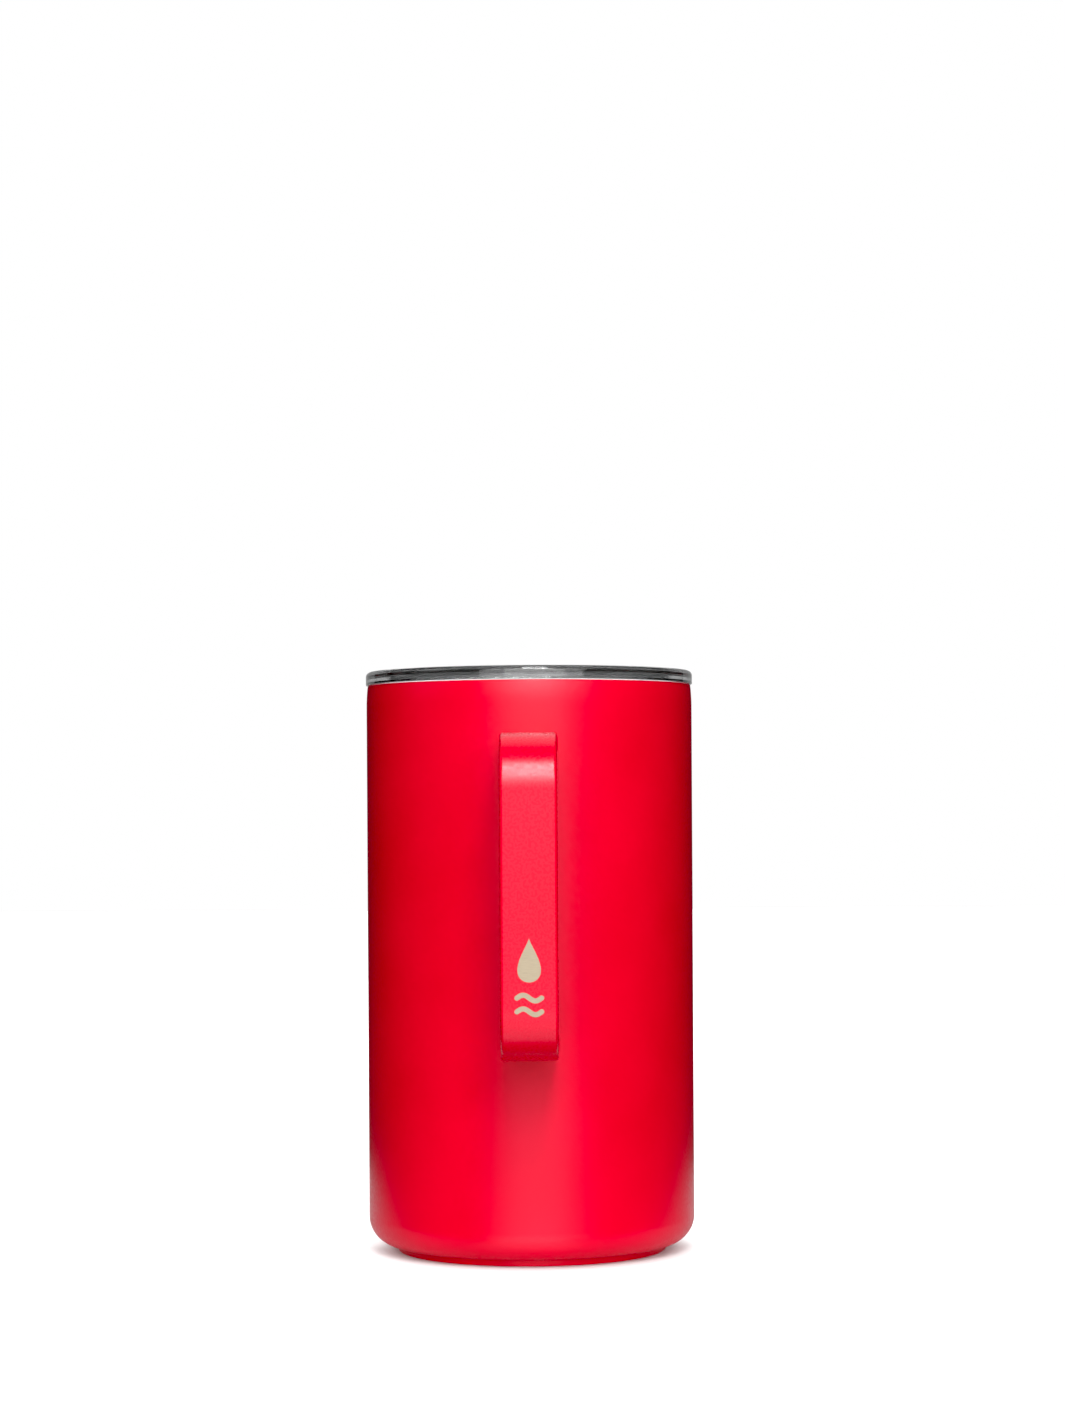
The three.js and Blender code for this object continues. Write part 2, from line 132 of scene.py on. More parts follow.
def revolve(name, profile, sides=RING):
    """Turns a (radius, height) profile, drawn up the outside, into a closed solid about Z."""
    open_ended = profile[0][0] == 0
    points = supported(profile, closed=not open_ended)
    vertices = []
    rings = []
    for point in points:
        first = len(vertices)
        if point.x == 0:
            vertices.append((0, 0, point.y))
            rings.append([first] * sides)
            continue
        for i in range(sides):
            angle = 2 * math.pi * i / sides
            vertices.append((point.x * math.cos(angle), point.x * math.sin(angle), point.y))
        rings.append(list(range(first, first + sides)))
    pairs = list(zip(rings, rings[1:]))
    if not open_ended:
        pairs.append((rings[-1], rings[0]))
    faces = []
    for below, above in pairs:
        for i in range(sides):
            j = (i + 1) % sides
            corners = [below[i], below[j], above[j], above[i]]
            faces.append(list(dict.fromkeys(corners)))
    return mesh_object(name, vertices, faces)


def loft(name, loops, cap=True, wrap=False):
    """Joins loops of points, each with the same number of points, into one closed surface."""
    size = len(loops[0])
    vertices = [point for loop in loops for point in loop]
    faces = []
    count = len(loops)
    for k in range(count if wrap else count - 1):
        here = k * size
        there = ((k + 1) % count) * size
        for i in range(size):
            j = (i + 1) % size
            faces.append([here + i, here + j, there + j, there + i])
    if cap and not wrap:
        faces.append(list(range(size))[::-1])
        faces.append(list(range((count - 1) * size, count * size)))
    return mesh_object(name, vertices, faces)


def outward(obj):
    """Turns every face of a closed piece outwards."""
    work = bmesh.new()
    work.from_mesh(obj.data)
    bmesh.ops.recalc_face_normals(work, faces=work.faces)
    work.to_mesh(obj.data)
    work.free()
    return obj


def boolean(target, tool, operation):
    """Adds the tool to the target or cuts it away, and throws the tool away."""
    modifier = target.modifiers.new(operation, "BOOLEAN")
    modifier.operation = operation
    modifier.solver = "EXACT"
    modifier.object = tool
    apply_modifiers(target)
    bpy.data.objects.remove(tool)


def apply_modifiers(obj):
    bpy.context.view_layer.update()
    evaluated = obj.evaluated_get(bpy.context.evaluated_depsgraph_get())
    result = bpy.data.meshes.new_from_object(evaluated)
    obj.modifiers.clear()
    obj.data = result


def sharpen(obj, degrees=32):
    """Keeps edges crisp where two faces meet at more than this angle."""
    obj.data.shade_smooth()
    obj.data.set_sharp_from_angle(angle=math.radians(degrees))


def rounded_rectangle(half_x, half_y, radius, steps=6):
    """Points round a rectangle about the origin, anticlockwise."""
    points = []
    for sx, sy, start in ((1, 1, 0), (-1, 1, 90), (-1, -1, 180), (1, -1, 270)):
        points += arc(sx * (half_x - radius), sy * (half_y - radius), radius, start, start + 90, steps)
    return points


# ---------------------------------------------------------------- material helpers
def new_material(name):
    """A new material, its node tree and its main shader."""
    material = bpy.data.materials.new(name)
    material.use_nodes = True
    return material, material.node_tree, material.node_tree.nodes["Principled BSDF"]


def noise(tree, scale, detail=2.0, stretch=(1, 1, 1)):
    """Noise on the object's own coordinates. The scale is in features a metre."""
    coordinates = tree.nodes.new("ShaderNodeTexCoord")
    mapping = tree.nodes.new("ShaderNodeMapping")
    mapping.inputs["Scale"].default_value = stretch
    texture = tree.nodes.new("ShaderNodeTexNoise")
    texture.inputs["Scale"].default_value = scale
    texture.inputs["Detail"].default_value = detail
    tree.links.new(coordinates.outputs["Object"], mapping.inputs["Vector"])
    tree.links.new(mapping.outputs["Vector"], texture.inputs["Vector"])
    return texture.outputs["Fac"]


def spread(tree, source, low, high, start=0.3, end=0.7):
    """Maps a noise to a range of values."""
    remap = tree.nodes.new("ShaderNodeMapRange")
    remap.inputs["From Min"].default_value = start
    remap.inputs["From Max"].default_value = end
    remap.inputs["To Min"].default_value = low
    remap.inputs["To Max"].default_value = high
    tree.links.new(source, remap.inputs["Value"])
    return remap.outputs["Result"]


def tint(tree, source, dark, light, start=0.3, end=0.7):
    """Maps a noise to a range of colours."""
    ramp = tree.nodes.new("ShaderNodeValToRGB")
    ramp.color_ramp.elements[0].position = start
    ramp.color_ramp.elements[0].color = (*dark, 1)
    ramp.color_ramp.elements[1].position = end
    ramp.color_ramp.elements[1].color = (*light, 1)
    tree.links.new(source, ramp.inputs["Fac"])
    return ramp.outputs["Color"]


def bump(tree, source, height_mm, under=None):
    """Raises the surface by a noise, on top of another bump if one is given."""
    node = tree.nodes.new("ShaderNodeBump")
    node.inputs["Distance"].default_value = height_mm * MM
    tree.links.new(source, node.inputs["Height"])
    if under is not None:
        tree.links.new(under, node.inputs["Normal"])
    return node.outputs["Normal"]


# ---------------------------------------------------------------- materials
RED_LIGHT = (0.82, 0.0008, 0.033)
RED_DARK = (0.76, 0.0004, 0.028)


def powder_coat(name, grain_mm, roughness, shine):
    """Satin powder coat: a fine orange-peel grain over long, shallow flow waves."""
    material, tree, shader = new_material(name)
    grain = noise(tree, 1400, detail=0.5)
    waves = noise(tree, 120, detail=1.0)
    clouds = noise(tree, 45, detail=2.0)
    tree.links.new(tint(tree, clouds, RED_DARK, RED_LIGHT), shader.inputs["Base Color"])
    tree.links.new(spread(tree, grain, roughness - 0.05, roughness + 0.05), shader.inputs["Roughness"])
    long_waves = bump(tree, waves, 0.006)
    tree.links.new(bump(tree, grain, grain_mm, under=long_waves), shader.inputs["Normal"])
    shader.inputs["Specular IOR Level"].default_value = shine
    return material


STEEL = (0.62, 0.61, 0.59)


def turned_steel(name):
    """Stainless steel with fine lines round the mug's axis."""
    material, tree, shader = new_material(name)
    lines = noise(tree, 260, detail=4.0, stretch=(1, 1, 18))
    clouds = noise(tree, 60, detail=2.0)
    light = tuple(c * 1.06 for c in STEEL)
    dark = tuple(c * 0.9 for c in STEEL)
    tree.links.new(tint(tree, clouds, dark, light), shader.inputs["Base Color"])
    tree.links.new(spread(tree, lines, 0.2, 0.38), shader.inputs["Roughness"])
    tree.links.new(bump(tree, lines, 0.004), shader.inputs["Normal"])
    shader.inputs["Metallic"].default_value = 1.0
    return material


def clear_plastic(name, color, roughness):
    """Polished clear copolyester with faint moulding waves and rubbed patches."""
    material, tree, shader = new_material(name)
    waves = noise(tree, 60, detail=1.0)
    rubs = noise(tree, 400, detail=3.0)
    shader.inputs["Base Color"].default_value = (*color, 1)
    shader.inputs["Transmission Weight"].default_value = 1.0
    shader.inputs["IOR"].default_value = 1.52
    tree.links.new(spread(tree, rubs, roughness, roughness + 0.05), shader.inputs["Roughness"])
    tree.links.new(bump(tree, waves, 0.01), shader.inputs["Normal"])
    return material


def silicone(name):
    """Milky silicone, slightly dusty."""
    material, tree, shader = new_material(name)
    dust = noise(tree, 700, detail=3.0)
    shader.inputs["Subsurface Weight"].default_value = 0.3
    shader.inputs["Subsurface Radius"].default_value = (0.002, 0.002, 0.002)
    shader.inputs["Subsurface Scale"].default_value = 1.0
    tree.links.new(tint(tree, dust, (0.66, 0.67, 0.67), (0.76, 0.77, 0.77)), shader.inputs["Base Color"])
    tree.links.new(spread(tree, dust, 0.42, 0.6), shader.inputs["Roughness"])
    tree.links.new(bump(tree, dust, 0.006), shader.inputs["Normal"])
    return material


def etched_steel(name):
    """Steel bared by a laser: matt, warm and faintly lined."""
    material, tree, shader = new_material(name)
    lines = noise(tree, 500, detail=2.0, stretch=(1, 1, 14))
    tree.links.new(tint(tree, lines, (0.40, 0.325, 0.225), (0.50, 0.42, 0.30)), shader.inputs["Base Color"])
    tree.links.new(spread(tree, lines, 0.55, 0.7), shader.inputs["Roughness"])
    tree.links.new(bump(tree, lines, 0.006), shader.inputs["Normal"])
    shader.inputs["Metallic"].default_value = 0.25
    return material


def pressed_powder(name, dark, light, metallic, roughness):
    """A dull, speckled solid for the small pieces sealed in the base."""
    material, tree, shader = new_material(name)
    specks = noise(tree, 1500, detail=3.0)
    tree.links.new(tint(tree, specks, dark, light), shader.inputs["Base Color"])
    tree.links.new(spread(tree, specks, roughness, roughness + 0.15), shader.inputs["Roughness"])
    tree.links.new(bump(tree, specks, 0.02), shader.inputs["Normal"])
    shader.inputs["Metallic"].default_value = metallic
    return material


body_paint = powder_coat("powder_coat_body", grain_mm=0.016, roughness=0.33, shine=0.375)
handle_paint = powder_coat("powder_coat_handle", grain_mm=0.004, roughness=0.28, shine=0.43)
bare_steel = turned_steel("turned_steel")
lid_plastic = clear_plastic("clear_lid_plastic", (0.95, 0.955, 0.96), 0.05)
slider_plastic = clear_plastic("clear_slider_plastic", (0.93, 0.935, 0.94), 0.03)
gasket_silicone = silicone("milky_silicone")
mark_steel = etched_steel("etched_steel")
getter_metal = pressed_powder("getter_metal", (0.10, 0.10, 0.095), (0.2, 0.195, 0.19), 0.7, 0.6)
solder = pressed_powder("solder_glass", (0.02, 0.018, 0.016), (0.06, 0.055, 0.05), 0.0, 0.15)


def finish_piece(obj, material, slot, body, *nodes):
    """Gives a piece its material and its body, and hides the CAD nodes that it stands for."""
    obj.data.materials.clear()
    obj.data.materials.append(material)
    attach(obj, body)
    if nodes:
        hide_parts(*nodes)


# ---------------------------------------------------------------- double-walled body
BASE_FILLET = 7.5
LINER_FILLET = 10
TAPER_HEIGHT = 5.4  # the shell curves in a little just below its lip
TAPER_INSET = 0.3
TAPER_STEPS = 8
TAPER_LEAN = 6  # degrees from upright, where the taper meets the lip
LIP_ROUND = 0.35
LIP_LAP = 0.45  # how far the shell's lip turns in


def make_shell():
    """The painted outer tube, open below, whose lip turns in to meet the liner."""
    inner = BODY_RADIUS - SHELL_WALL
    lap_depth = 0.6
    lap_slope = 1
    bend_z = SHELL_LOW + BASE_FILLET
    bend_r = BODY_RADIUS - BASE_FILLET
    lip_z = LIP - LIP_ROUND
    profile = arc(bend_r, bend_z, BASE_FILLET, -90, 0, 24)
    for step in range(TAPER_STEPS):
        up = step / TAPER_STEPS
        profile.append((BODY_RADIUS - TAPER_INSET * up**2, lip_z - TAPER_HEIGHT * (1 - up)))
    profile += arc(BODY_RADIUS - TAPER_INSET - LIP_ROUND, lip_z, LIP_ROUND, TAPER_LEAN, 90, 6)
    profile += [(inner - LIP_LAP, LIP), (inner - LIP_LAP, LIP - lap_depth)]
    profile += [(inner, LIP - lap_depth - lap_slope)]
    profile += arc(bend_r, bend_z, BASE_FILLET - SHELL_WALL, 0, -90, 16)
    shell = revolve("shell_skin", profile)
    finish_piece(shell, body_paint, "powder_coat", "mug", "outer_shell")


def make_liner():
    """The bare steel cup, flared out at the top to meet the shell's lip."""
    outer = LINER_RADIUS + LINER_WALL
    bend_z = LINER_FLOOR + LINER_FILLET
    bend_r = LINER_RADIUS - LINER_FILLET
    flare_low = LIP - 2.6
    flare_high = LIP - 1.2
    flare_width = 0.5
    lip_outer = BODY_RADIUS - SHELL_WALL - LIP_LAP - CLEARANCE
    outer_round = 0.2
    inner_round = 1
    profile = [(0, LINER_FLOOR - LINER_WALL)]
    profile += arc(bend_r, bend_z, LINER_FILLET + LINER_WALL, -90, 0, 16)
    profile += [(outer, flare_low), (outer + flare_width, flare_high), (lip_outer, LIP - LINER_WALL)]
    profile += arc(lip_outer - outer_round, LIP - outer_round, outer_round, 0, 90, 3)
    profile += arc(LINER_RADIUS + inner_round, LIP - inner_round, inner_round, 90, 180, 8)
    profile += arc(bend_r, bend_z, LINER_FILLET, 0, -90, 20)
    profile += [(0, LINER_FLOOR)]
    liner = revolve("liner_cup", profile)
    finish_piece(liner, bare_steel, "bare_steel", "mug", "inner_liner")


def make_foot():
    """The cap that closes the base, with a standing ring round a shallow recess."""
    wall = 0.8
    recess = 0.8
    ring = FOOT_RADIUS - 4.5  # inside of the standing ring
    slope = 1.6  # how far the recess leans in from the ring
    inner_round = 0.4
    outer_round = 0.5
    inner = FOOT_RADIUS - wall
    profile = [(0, recess)]
    profile += arc(ring - slope, 0, recess, 90, 30, 5)
    profile += arc(ring + 0.3, inner_round, inner_round, 210, 270, 4)
    profile += arc(FOOT_RADIUS - outer_round, outer_round, outer_round, -90, 0, 6)
    profile += [(FOOT_RADIUS, FOOT_TOP), (inner, FOOT_TOP), (inner, wall)]
    profile += [(ring + 0.4, wall), (ring - slope / 2, recess + wall), (0, recess + wall)]
    foot = revolve("foot_cap", profile)
    finish_piece(foot, body_paint, "powder_coat", "mug", "base_cap")


# ---------------------------------------------------------------- handle
HANDLE_WALL = 1  # sheet that the hollow strap is folded from
HANDLE_BEND = 13.5  # outer radius of both corners
PAINT = 0.02  # the strap's face is drawn this far in, so that the bare mark can lie on it
CREASE = 50  # degrees, above which the strap's edges stay crisp


def strap_stations(bend_steps=20):
    """Where the strap runs: points on its outer face in (out along -Y, height), and the way inwards."""
    face = HANDLE_FACE - PAINT
    bend = HANDLE_BEND - PAINT
    centre = face - bend
    high = HANDLE_HIGH - PAINT
    low = HANDLE_LOW + PAINT
    root = BODY_RADIUS + 1  # a little way out from the shell
    margin = 0.2  # from each bend to the next point on the straight
    stations = [((BODY_RADIUS, high), (0, -1)), ((root, high), (0, -1))]
    stations += [((centre - margin, high), (0, -1))]
    for i in range(bend_steps + 1):
        angle = math.radians(90 - 90 * i / bend_steps)
        way = (-math.cos(angle), -math.sin(angle))
        stations.append(((centre - bend * way[0], high - bend - bend * way[1]), way))
    stations += [((face, high - bend - margin), (-1, 0)), ((face, low + bend + margin), (-1, 0))]
    for i in range(bend_steps + 1):
        angle = math.radians(-90 * i / bend_steps)
        way = (-math.cos(angle), -math.sin(angle))
        stations.append(((centre - bend * way[0], low + bend - bend * way[1]), way))
    stations += [((centre - margin, low), (0, 1))]
    stations += [((root, low), (0, 1)), ((BODY_RADIUS, low), (0, 1))]
    return stations


def sweep_strap(name, section):
    """Sweeps a (across, depth) section along the strap, and ends it on the round shell."""
    stations = strap_stations()
    loops = []
    for k, ((out, height), (way_out, way_up)) in enumerate(stations):
        loop = []
        for across, depth in section:
            reach = out + depth * way_out
            if k in (0, len(stations) - 1):
                reach = math.sqrt(BODY_RADIUS**2 - across**2)
            loop.append((across, -reach, height + depth * way_up))
        loops.append(loop)
    return outward(loft(name, loops))


def make_handle():
    """The hollow strap: a channel with round edges, and the plate that closes its finger side."""
    half = HANDLE_WIDTH / 2
    edge = HANDLE_EDGE
    thick = HANDLE_THICKNESS - PAINT
    pocket = half - HANDLE_WALL
    outside = arc(-half + edge, thick - edge, edge, 90, 180, 6)
    outside += arc(-half + edge, edge, edge, 180, 270, 6)
    outside += arc(half - edge, edge, edge, -90, 0, 6)
    outside += arc(half - edge, thick - edge, edge, 0, 90, 6)
    pocket_line = [(pocket, thick), (pocket, HANDLE_WALL), (-pocket, HANDLE_WALL), (-pocket, thick)]
    channel = sweep_strap("handle_strap", supported(outside + pocket_line, closed=True))
    sharpen(channel, CREASE)
    finish_piece(channel, handle_paint, "powder_coat", "mug", "handle_outer_channel")
    seam = 0.04
    plate_half = pocket - seam
    plate_top = thick - HANDLE_WALL
    plate_edge = 0.12
    plate_section = arc(plate_half - plate_edge, thick - plate_edge, plate_edge, 0, 90, 3)
    plate_section += arc(-plate_half + plate_edge, thick - plate_edge, plate_edge, 90, 180, 3)
    plate_section += [(-plate_half, plate_top), (plate_half, plate_top)]
    plate = sweep_strap("handle_finger_plate", supported(plate_section, closed=True))
    sharpen(plate, CREASE)
    finish_piece(plate, handle_paint, "powder_coat", "mug", "handle_inner_plate")


WELD_SIZE = 0.4
WELD_SPACING = 0.9  # between sections along the weld
WELD_SINK = 0.1  # how far its corner is sunk into the shell and the strap
WELD_TOE = 0.06  # how far its two thin edges are sunk
WELD_WOBBLE = 0.05  # share by which its size varies
WOBBLE_LENGTH = 7  # in sections


def make_weld(name, middle):
    """A painted weld fillet between the shell and one end of the strap."""
    size = WELD_SIZE
    outline = rounded_rectangle(HANDLE_WIDTH / 2, HANDLE_THICKNESS / 2, HANDLE_EDGE, 8)
    dense = []
    for here, there in zip(outline, outline[1:] + outline[:1]):
        steps = max(1, round((Vector(there) - Vector(here)).length / WELD_SPACING))
        dense += [tuple(Vector(here).lerp(Vector(there), i / steps)) for i in range(steps)]
    section = [(-WELD_SINK, -WELD_SINK), (size, -WELD_TOE)]
    section += arc(size, size, size, 270, 180, 8)[1:-1]
    section += [(-WELD_TOE, size)]
    loops = []
    count = len(dense)
    for i, (x, z) in enumerate(dense):
        before = Vector(dense[i - 1])
        after = Vector(dense[(i + 1) % count])
        along = (after - before).normalized()
        way = Vector((along.y, -along.x))
        wobble = 1 + WELD_WOBBLE * math.sin(2 * math.pi * i / WOBBLE_LENGTH)
        loop = []
        for off, out in section:
            px = x + way.x * off * wobble
            reach = math.sqrt(BODY_RADIUS**2 - px**2) + out * wobble
            loop.append((px, -reach, middle + z + way.y * off * wobble))
        loops.append(loop)
    weld = outward(loft(name, loops, wrap=True))
    finish_piece(weld, body_paint, "powder_coat", "mug")


# ---------------------------------------------------------------- generic mark on the strap
MARK_MIDDLE = 75.7  # height of the mark
MARK_HEIGHT = 19
MARK_WIDTH = 7.2
MARK_DEPTH = 0.3
DROP_SHARE = 0.56  # of the mark's height
DROP_POINTS = 64
DROP_TAPER = 1.6  # a higher power gives the drop a finer tip
DROP_STRETCH = 0.98 / 0.86  # sideways, as the curve alone is only 0.69 as wide as the mark
RIPPLE_COUNT = 2
RIPPLE_HALF = 0.62  # half the thickness of a ripple
RIPPLE_RISE = 0.7
RIPPLE_PITCH = 3.3
RIPPLE_STEPS = 32


def inlay(name, outline):
    """A thin plate that fills an outline on the strap's face. Its front is flush with the CAD face."""
    front = [(x, -HANDLE_FACE, z) for x, z in outline]
    back = [(x, -HANDLE_FACE + MARK_DEPTH, z) for x, z in outline]
    piece = outward(loft(name, [back, front]))
    sharpen(piece)
    finish_piece(piece, mark_steel, "bare_steel", "mug")


def make_drop():
    """A drop with its tip up."""
    half = MARK_WIDTH / 2 * DROP_STRETCH
    drop_height = MARK_HEIGHT * DROP_SHARE
    drop_middle = MARK_MIDDLE + MARK_HEIGHT / 2 - drop_height / 2
    drop = []
    for i in range(DROP_POINTS):
        t = 2 * math.pi * i / DROP_POINTS
        width = math.sin(t) * math.sin(t / 2) ** DROP_TAPER
        drop.append((half * width, drop_middle + drop_height / 2 * math.cos(t)))
    inlay("mark_drop", drop[::-1])


def make_ripple(number):
    """One wave, a sine of even thickness with round ends."""
    line = RIPPLE_HALF
    half = MARK_WIDTH / 2 - line
    wave = 2 * math.pi / RIPPLE_STEPS
    height = MARK_MIDDLE - MARK_HEIGHT / 2 + line + RIPPLE_RISE + number * RIPPLE_PITCH
    upper = []
    lower = []
    for i in range(RIPPLE_STEPS + 1):
        x = half * (2 * i / RIPPLE_STEPS - 1)
        z = height + RIPPLE_RISE * math.sin(wave * i)
        slope = Vector((2 * half / RIPPLE_STEPS, RIPPLE_RISE * wave * math.cos(wave * i)))
        way = Vector((-slope.y, slope.x)).normalized() * line
        upper.append((x + way.x, z + way.y))
        lower.append((x - way.x, z - way.y))
    end_right = Vector(upper[-1]).lerp(Vector(lower[-1]), 0.5)
    end_left = Vector(upper[0]).lerp(Vector(lower[0]), 0.5)
    start = math.degrees(math.atan2(upper[-1][1] - end_right.y, upper[-1][0] - end_right.x))
    right = arc(end_right.x, end_right.y, line, start, start - 180, 8)[1:-1]
    left = arc(end_left.x, end_left.y, line, start + 180, start, 8)[1:-1]
    inlay(f"mark_ripple_{number + 1}", upper + right + lower[::-1] + left)


def make_mark():
    """A water drop over two ripples."""
    make_drop()
    for number in range(RIPPLE_COUNT):
        make_ripple(number)


# ---------------------------------------------------------------- lid
# The lid is drawn with the drinking hole along +Y, and then turned a quarter turn, to face -X.
LID_QUARTER = Matrix.Rotation(math.pi / 2, 4, "Z")
DECK_THICKNESS = 1.8
DECK_LOW = DECK_TOP - DECK_THICKNESS
SKIRT_OUTER = 38.4
SKIRT_INNER = 35.4
GROOVE_DEPTH = 1.6  # for the gasket
RIM_ROUND = 1.2
SLOPE_TOP = 40.7  # where the rim starts to slope down into the well
SLOPE_ROUND = 1.6
WELL_EDGE = 37.4
WELL_EDGE_DEPTH = 2.7
WELL_RADIUS = 34.3  # where the deck starts to curve up
WELL_ROUND = 2.6
HOLE_NEAR = 25.2
HOLE_FAR = 32.7
HOLE_WIDTH = 17
HOLE_CORNER = 2.5
HOLE_EDGE = 0.4  # rounding of the hole's edges
VENT_OFFSET = 29
VENT_RADIUS = 1.2
VENT_SIDES = 24
RAIL_WALL = 2
RAIL_HEIGHT = 3.6
RAIL_LIP = 1.6  # how far the lip overhangs from the rail
RAIL_LIP_ROOT = 1  # how far the lip reaches into the rail
RAIL_BACK = -7  # where the rails start and end, along the way that the slider moves
RAIL_FRONT = 31
RAIL_GAP = 0.3  # between slider and rail
RAIL_EDGE = 0.4
ROOT = 0.4  # how far a raised feature is sunk into what it stands on
STOP_WIDTH = 10
STOP_THICKNESS = 2
STOP_HEIGHT = 1.8
STOP_OFFSET = -4.3


def turn_lid(obj):
    """Turns a piece that is drawn in the lid's own directions to the way it lies on the mug."""
    obj.data.transform(LID_QUARTER)


def prism(name, outline, levels):
    """Stacks an outline at several heights, each grown outwards by its own amount."""
    loops = []
    count = len(outline)
    for height, grow in levels:
        loop = []
        for i, (x, y) in enumerate(outline):
            before = Vector(outline[i - 1])
            after = Vector(outline[(i + 1) % count])
            along = (after - before).normalized()
            loop.append((x + along.y * grow, y - along.x * grow, height))
        loops.append(loop)
    return outward(loft(name, loops))


def moved(outline, x, y):
    """Shifts an outline."""
    return [(px + x, py + y) for px, py in outline]


def softened(low, high, round_top, round_low=0.0, steps=4):
    """Heights and insets of a block whose top and bottom edges are rounded."""
    levels = []
    if round_low:
        for i in range(steps + 1):
            angle = math.radians(90 * i / steps)
            levels.append((low + round_low * (1 - math.cos(angle)), -round_low * (1 - math.sin(angle))))
    else:
        levels.append((low, 0))
    for i in range(steps + 1):
        angle = math.radians(90 * i / steps)
        levels.append((high - round_top * (1 - math.sin(angle)), -round_top * (1 - math.cos(angle))))
    return levels


def lid_profile():
    """From the deck's underside down the skirt, out along the rim, and back over the slope to the deck."""
    flange = LIP + CLEARANCE
    groove = SKIRT_OUTER - GROOVE_DEPTH
    low = GASKET_LOW - CLEARANCE
    high = GASKET_HIGH + CLEARANCE
    inner_round = 0.4
    outer_round = 0.8
    corner = 0.3
    profile = [(0, DECK_LOW)]
    profile += arc(SKIRT_INNER - outer_round, DECK_LOW - outer_round, outer_round, 90, 0, 5)
    profile += arc(SKIRT_INNER + inner_round, LID_LOW + inner_round, inner_round, 180, 270, 3)
    profile += arc(SKIRT_OUTER - outer_round, LID_LOW + outer_round, outer_round, -90, 0, 5)
    profile += [(SKIRT_OUTER, low), (groove, low), (groove, high), (SKIRT_OUTER, high)]
    profile += arc(SKIRT_OUTER + corner, flange - corner, corner, 180, 90, 3)
    profile += arc(LID_RADIUS - corner, flange + corner, corner, -90, 0, 4)
    profile += arc(LID_RADIUS - RIM_ROUND, LID_TOP - RIM_ROUND, RIM_ROUND, 0, 90, 10)
    profile += arc(SLOPE_TOP, LID_TOP - SLOPE_ROUND, SLOPE_ROUND, 90, 135, 5)
    profile += [(WELL_EDGE, LID_TOP - WELL_EDGE_DEPTH)]
    profile += arc(WELL_RADIUS, DECK_TOP + WELL_ROUND, WELL_ROUND, -15, -90, 8)
    profile += [(0, DECK_TOP)]
    return profile


def cut_holes(lid):
    """Cuts the drinking hole, with eased edges, and the small flared vent opposite."""
    past = 1  # the tools reach this far past the deck
    middle = (HOLE_NEAR + HOLE_FAR) / 2
    hole = rounded_rectangle(HOLE_WIDTH / 2, (HOLE_FAR - HOLE_NEAR) / 2, HOLE_CORNER, 8)
    edge = HOLE_EDGE
    levels = [(DECK_LOW - past, past + edge), (DECK_LOW, edge)]
    levels += [(DECK_LOW + edge * 0.3, edge * 0.3), (DECK_LOW + edge, 0)]
    levels += [(DECK_TOP - edge, 0), (DECK_TOP - edge * 0.3, edge * 0.3)]
    levels += [(DECK_TOP, edge), (DECK_TOP + past, past + edge)]
    boolean(lid, prism("hole_tool", moved(hole, 0, middle), levels), "DIFFERENCE")
    flare = 0.3
    vent = moved(arc(0, 0, VENT_RADIUS, 0, 360, VENT_SIDES)[:-1], 0, -VENT_OFFSET)
    levels = [(DECK_LOW - past, 0), (DECK_TOP - flare, 0), (DECK_TOP + past, past + flare)]
    boolean(lid, prism("vent_tool", vent, levels), "DIFFERENCE")


def add_rails(lid):
    """Adds the two rails that guide the slider, and the stop behind it."""
    inner = SLIDER_WIDTH / 2 + RAIL_GAP
    half_length = (RAIL_FRONT - RAIL_BACK) / 2
    along = (RAIL_FRONT + RAIL_BACK) / 2
    base = DECK_TOP - ROOT
    top = DECK_TOP + RAIL_HEIGHT
    end_round = 0.9
    lip_half = (RAIL_LIP + RAIL_LIP_ROOT) / 2
    lip_low = top - 1
    lip_high = top - 0.05  # a little below the rail's top, so that the two faces don't coincide
    for side in (-1, 1):
        wall = rounded_rectangle(RAIL_WALL / 2, half_length, end_round, 5)
        wall = moved(wall, side * (inner + RAIL_WALL / 2), along)
        boolean(lid, prism("rail_tool", wall, softened(base, top, RAIL_EDGE)), "UNION")
        lip = rounded_rectangle(lip_half, half_length - end_round, 0.4, 4)
        lip = moved(lip, side * (inner + RAIL_LIP_ROOT - lip_half), along)
        boolean(lid, prism("lip_tool", lip, softened(lip_low, lip_high, 0.3, 0.15)), "UNION")
    stop = moved(rounded_rectangle(STOP_WIDTH / 2, STOP_THICKNESS / 2, 0.8, 5), 0, STOP_OFFSET)
    boolean(lid, prism("stop_tool", stop, softened(base, DECK_TOP + STOP_HEIGHT, 0.4)), "UNION")


def make_lid():
    """The clear lid: a turned shape with its holes cut and its rails added."""
    lid = revolve("lid_shell", lid_profile())
    cut_holes(lid)
    add_rails(lid)
    sharpen(lid)
    turn_lid(lid)
    finish_piece(lid, lid_plastic, "clear_plastic", "lid", "lid_cover")


SLIDER_PLATE = 1.6
SLIDER_BACK = 9  # its straight inner end
SLIDER_REACH = 34.2  # its round outer end
PAD_GAP = 0.7  # between the pad and the rails' lips
PAD_RISE = 0.2  # above the rails
PAD_NEAR = 10.2
PAD_FAR = 30.8
RIDGE_COUNT = 3
RIDGE_FIRST = 13.6
RIDGE_PITCH = 2.4
RIDGE_WIDTH = 13
RIDGE_THICKNESS = 1.5
RIDGE_HEIGHT = 1
RIDGE_HEIGHT_MIDDLE = 1.45


